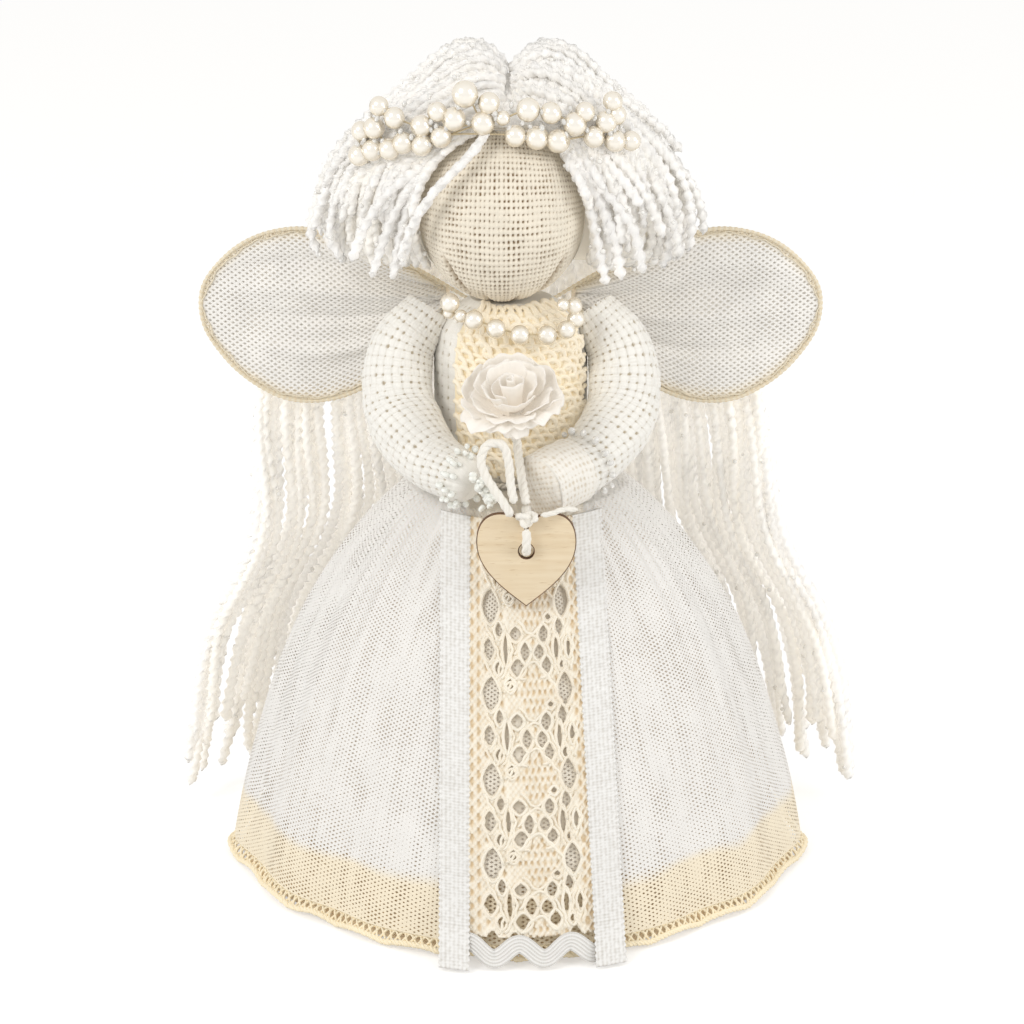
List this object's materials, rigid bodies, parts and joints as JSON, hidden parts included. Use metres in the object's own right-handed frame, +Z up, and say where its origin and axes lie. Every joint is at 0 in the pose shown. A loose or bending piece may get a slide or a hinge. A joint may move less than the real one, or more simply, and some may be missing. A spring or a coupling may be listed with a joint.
{
  "type": "angel doll",
  "caption": "Standing cloth angel doll with a cone skirt, linen head, yarn hair, pearl crown, net wings, a rose, and a wooden heart hanging on a cord.",
  "frame": {"origin": "middle of the base disc's underside, on the surface the doll stands on", "axes": "+Z up along the body, -Y the way the doll faces, +X to the viewer's right as the doll faces them"},
  "size_m": [0.2176, 0.1907, 0.2475],
  "materials": {
    "card": "plain grey-cream card",
    "foam": "white craft foam",
    "birch": "unvarnished birch, edges darkened by the cutter",
    "white_net": "open knitted net, matt",
    "white_lining": "fine white cotton, matt",
    "cream_band": "cream woven cotton, matt",
    "cream_lace": "cream cotton lace, matt",
    "white_ribbon": "ribbed white ribbon, slight sheen",
    "cotton_weave": "open off-white cotton weave, matt",
    "cuff_knit": "white knit edging, matt",
    "linen": "coarse natural linen, matt",
    "cord": "twisted cotton cord, matt",
    "wire": "thin craft wire",
    "wing_net": "fine ivory net, slight sheen",
    "pearl": "ivory pearl coat, glossy",
    "seed_bead": "pale clear seed beads",
    "yarn": "glossy white slub yarn",
    "petal": "sheer white voile"
  },
  "bodies": {
    "doll": {"base_disc": "card", "skirt_cone": "foam", "head_ball": "foam", "body_dowel": "birch", "overskirt_net": "white_net", "skirt_lining": "white_lining", "underskirt_band": "cream_band", "hem_lace": "cream_lace", "lace_panel": "cream_lace", "bodice_lace": "cream_lace", "ribbon_left": "white_ribbon", "ribbon_right": "white_ribbon", "rickrack_trim": "white_ribbon", "bodice": "cotton_weave", "arm_left": "cotton_weave", "arm_right": "cotton_weave", "cuff_right": "cuff_knit", "head_linen": "linen", "waist_cord": "cord", "rose_stem": "cord", "cord_knot": "cord", "bow_loop": "cord", "cord_tail": "cord", "arm_wire": "wire", "crown_band": "wire", "wing_wire_left": "wire", "wing_wire_right": "wire", "wing_net_left": "wing_net", "wing_net_right": "wing_net", "necklace": "pearl", "crown_pearls_low": "pearl", "crown_pearls_high": "pearl", "bracelet_left": "seed_bead", "bracelet_right": "seed_bead", "forelock_left": "yarn", "forelock_right": "yarn", "hair_lobe_left": "yarn", "hair_lobe_right": "yarn", "hair_long_left_1": "yarn", "hair_long_left_2": "yarn", "hair_long_left_3": "yarn", "hair_long_left_4": "yarn", "hair_long_right_1": "yarn", "hair_long_right_2": "yarn", "hair_long_right_3": "yarn", "hair_long_right_4": "yarn", "rose_calyx": "petal", "rose_petals_outer": "petal", "rose_petals_middle": "petal", "rose_petals_inner": "petal", "rose_bud": "petal"},
    "heart_cord": {"heart_cord": "cord"},
    "heart_charm": {"heart_charm": "birch"}
  },
  "joints": [
    {"name": "heart_lift", "type": "hinge", "parent": "doll", "child": "heart_cord", "pos_m": [0.0024, -0.054, 0.1214], "axis": [-1, 0, 0], "range_deg": [0, 60]},
    {"name": "heart_swing", "type": "hinge", "parent": "heart_cord", "child": "heart_charm", "pos_m": [0.0023, -0.0506, 0.111], "axis": [0, -0.9893, 0.1461], "range_deg": [-8, 8]}
  ]
}
